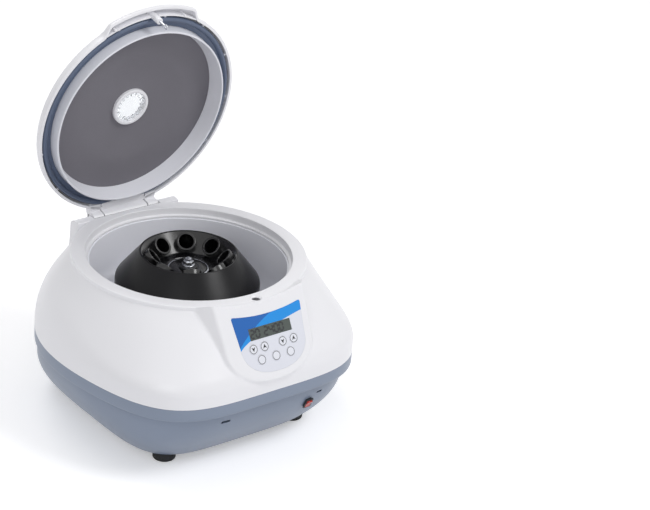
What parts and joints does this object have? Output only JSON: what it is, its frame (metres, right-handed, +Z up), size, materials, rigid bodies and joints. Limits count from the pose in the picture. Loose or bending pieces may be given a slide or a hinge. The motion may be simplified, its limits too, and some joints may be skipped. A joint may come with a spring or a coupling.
{
  "type": "bench centrifuge",
  "caption": "Low bench centrifuge with a round hinged lid, a conical angle rotor with tube sleeves, and a sloping key panel with a display.",
  "frame": {"origin": "in the plane of the bench under the feet, at the middle of the part's bounding box; the spindle axis stands 4.79 mm behind it", "axes": "+Z up along the spindle, -Y towards the operator and the panel, +X to the operator's right"},
  "size_m": [0.36, 0.3646, 0.4826],
  "materials": {
    "upper_shell": "satin",
    "lower_shell": "fine texture",
    "bowl": "satin",
    "sheet": "bright",
    "rubber": "matte",
    "motor_paint": "satin",
    "board": "satin",
    "overlay": "satin film",
    "lcd": "clear window over a display",
    "black_plastic": "satin",
    "key": "satin",
    "rocker": "gloss",
    "disc": "satin",
    "gasket": "matte",
    "window": "clear",
    "rotor_metal": "anodised, satin"
  },
  "bodies": {
    "housing": {"lower_housing": "lower_shell", "upper_housing": "upper_shell", "chamber_bowl": "bowl", "base_plate": "sheet", "foot_front_left": "rubber", "foot_front_right": "rubber", "foot_rear_left": "rubber", "foot_rear_right": "rubber", "foot_nuts": "sheet", "housing_screws": "sheet", "motor_body": "motor_paint", "motor_bearings": "sheet", "motor_mounts": "rubber", "motor_bracket": "sheet", "spindle_seal": "rubber", "drive_board": "board", "panel_overlay": "overlay", "display_window": "lcd", "display_module": "black_plastic", "control_board": "board", "switch_bezel": "black_plastic", "lock_body": "black_plastic", "lock_solenoid": "motor_paint", "rear_bezel": "black_plastic", "power_inlet": "black_plastic", "fuse_drawer": "black_plastic", "hinge_pins": "sheet"},
    "lid": {"lid_shell": "upper_shell", "lid_liner": "upper_shell", "liner_disc": "disc", "lid_gasket": "gasket", "hinge_cover": "upper_shell", "viewport_collar": "upper_shell", "viewport_window": "window", "striker_boss": "upper_shell", "striker_pin": "sheet", "hinge_bushes": "black_plastic"},
    "rotor": {"rotor_body": "rotor_metal", "drive_spindle": "sheet", "rotor_washer": "black_plastic", "rotor_nut": "sheet", "tube_sleeve_1": "rotor_metal", "tube_sleeve_2": "rotor_metal", "tube_sleeve_3": "rotor_metal", "tube_sleeve_4": "rotor_metal", "tube_sleeve_5": "rotor_metal", "tube_sleeve_6": "rotor_metal", "tube_sleeve_7": "rotor_metal", "tube_sleeve_8": "rotor_metal"},
    "key_left_down": {"key_left_down": "key"},
    "key_left_up": {"key_left_up": "key"},
    "key_right_down": {"key_right_down": "key"},
    "key_right_up": {"key_right_up": "key"},
    "key_low_left": {"key_low_left": "key"},
    "key_low_middle": {"key_low_middle": "key"},
    "key_low_right": {"key_low_right": "key"},
    "rocker": {"power_rocker": "rocker"},
    "bolt": {"lock_bolt": "sheet"}
  },
  "joints": [
    {"name": "lid_hinge", "type": "hinge", "parent": "housing", "child": "lid", "pos_m": [0, 0.14479, 0.198], "axis": [1, 0, 0], "range_deg": [0, 79.3]},
    {"name": "rotor_spin", "type": "hinge", "parent": "housing", "child": "rotor", "pos_m": [0, 0.00479, 0.15], "axis": [0, 0, 1], "continuous": true},
    {"name": "key_left_down_push", "type": "slide", "parent": "housing", "child": "key_left_down", "axis": [0, 0.8746, -0.4848], "range_m": [0, 0.0008], "stiffness_N_per_m": 1500, "springref_m": -0.0004},
    {"name": "key_left_up_push", "type": "slide", "parent": "housing", "child": "key_left_up", "axis": [0, 0.8746, -0.4848], "range_m": [0, 0.0008], "stiffness_N_per_m": 1500, "springref_m": -0.0004},
    {"name": "key_right_down_push", "type": "slide", "parent": "housing", "child": "key_right_down", "axis": [0, 0.8746, -0.4848], "range_m": [0, 0.0008], "stiffness_N_per_m": 1500, "springref_m": -0.0004},
    {"name": "key_right_up_push", "type": "slide", "parent": "housing", "child": "key_right_up", "axis": [0, 0.8746, -0.4848], "range_m": [0, 0.0008], "stiffness_N_per_m": 1500, "springref_m": -0.0004},
    {"name": "key_low_left_push", "type": "slide", "parent": "housing", "child": "key_low_left", "axis": [0, 0.8746, -0.4848], "range_m": [0, 0.0008], "stiffness_N_per_m": 1500, "springref_m": -0.0004},
    {"name": "key_low_middle_push", "type": "slide", "parent": "housing", "child": "key_low_middle", "axis": [0, 0.8746, -0.4848], "range_m": [0, 0.0008], "stiffness_N_per_m": 1500, "springref_m": -0.0004},
    {"name": "key_low_right_push", "type": "slide", "parent": "housing", "child": "key_low_right", "axis": [0, 0.8746, -0.4848], "range_m": [0, 0.0008], "stiffness_N_per_m": 1500, "springref_m": -0.0004},
    {"name": "rocker_pivot", "type": "hinge", "parent": "housing", "child": "rocker", "pos_m": [0.065, -0.15894, 0.06053], "axis": [1, 0, 0], "range_deg": [-18, 0]},
    {"name": "bolt_slide", "type": "slide", "parent": "housing", "child": "bolt", "axis": [-1, 0, 0], "range_m": [0, 0.005], "stiffness_N_per_m": 120, "springref_m": -0.002}
  ]
}
